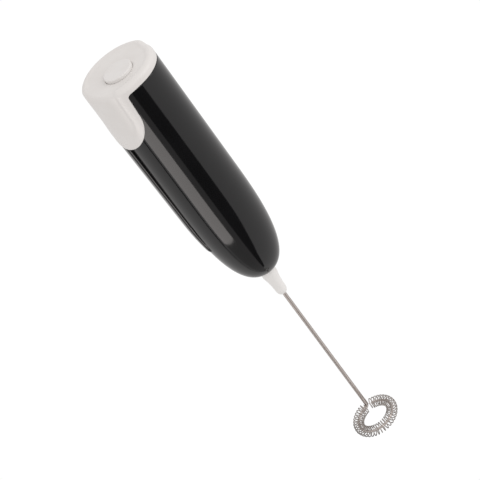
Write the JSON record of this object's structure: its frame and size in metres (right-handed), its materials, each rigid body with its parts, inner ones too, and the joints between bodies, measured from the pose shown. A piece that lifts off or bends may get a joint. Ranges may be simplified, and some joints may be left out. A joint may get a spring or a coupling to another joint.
{
  "type": "milk frother",
  "caption": "Battery milk frother: round black handle with a rounded nose, white cap with a push button and side tongue, thin steel rod ending in a coil-wound whisk ring.",
  "frame": {"origin": "on the rod's axis in the middle of the handle's grip, 66 mm below the cap's top plane", "axes": "+Z along the rod's axis towards the cap, the side tongue faces -Y, the battery cover faces -X"},
  "size_m": [0.0386, 0.0368, 0.2282],
  "materials": {
    "black_gloss": "polished black plastic",
    "white_gloss": "satin gloss warm white plastic",
    "button_white": "satin gloss white plastic",
    "cradle_plastic": "natural matt plastic",
    "bronze_strip": "rolled phosphor bronze",
    "screw_steel": "zinc plated",
    "cell_jacket": "printed shrink sleeve, plain",
    "nickel": "nickel plated sheet",
    "spring_wire": "nickel plated spring wire",
    "motor_steel": "drawn steel",
    "end_cap_plastic": "matt plastic",
    "ferrite": "sintered ferrite",
    "sintered_bronze": "oil filled sintered bronze",
    "carbon": "pressed carbon",
    "brass_tab": "stamped brass",
    "red_sleeve": "soft plastic insulation",
    "black_sleeve": "soft plastic insulation",
    "shaft_steel": "ground steel",
    "laminations": "stacked steel sheet",
    "enamelled_copper": "enamelled copper wire",
    "copper": "turned copper",
    "cone_white": "satin white plastic",
    "stainless_rod": "drawn stainless wire",
    "stainless_coil": "bright fine stainless wire"
  },
  "bodies": {
    "handle": {"body_shell": "black_gloss", "top_cap": "white_gloss", "battery_cradle": "cradle_plastic", "switch_leaf": "bronze_strip", "switch_contact": "bronze_strip", "switch_screws": "screw_steel", "left_cell_jacket": "cell_jacket", "right_cell_jacket": "cell_jacket", "left_cell_terminal": "nickel", "right_cell_terminal": "nickel", "positive_tab": "nickel", "negative_plate": "nickel", "negative_spring": "spring_wire", "bridge_plate": "nickel", "bridge_spring": "spring_wire", "motor_mount": "cradle_plastic", "motor_can": "motor_steel", "motor_end_cap": "end_cap_plastic", "motor_magnets": "ferrite", "front_bearing": "sintered_bronze", "rear_bearing": "sintered_bronze", "motor_brushes": "carbon", "motor_terminals": "brass_tab", "lead_red": "red_sleeve", "lead_black": "black_sleeve"},
    "spinner": {"motor_shaft": "shaft_steel", "armature_core": "laminations", "armature_windings": "enamelled_copper", "commutator": "copper", "drive_cone": "cone_white", "whisk_wire": "stainless_rod", "whisk_coil": "stainless_coil"},
    "button": {"push_button": "button_white"},
    "cover": {"battery_cover": "black_gloss"}
  },
  "joints": [
    {"name": "whisk_spin", "type": "hinge", "parent": "handle", "child": "spinner", "pos_m": [0, 0, -0.0586], "axis": [0, 0, 1], "continuous": true},
    {"name": "button_press", "type": "slide", "parent": "handle", "child": "button", "axis": [0, 0, -1], "range_m": [0, 0.001], "stiffness_N_per_m": 600, "springref_m": -0.0008, "deforming": ["switch_leaf"]},
    {"name": "cover_slide", "type": "slide", "parent": "handle", "child": "cover", "axis": [0, 0, -1], "range_m": [0, 0.012]}
  ]
}
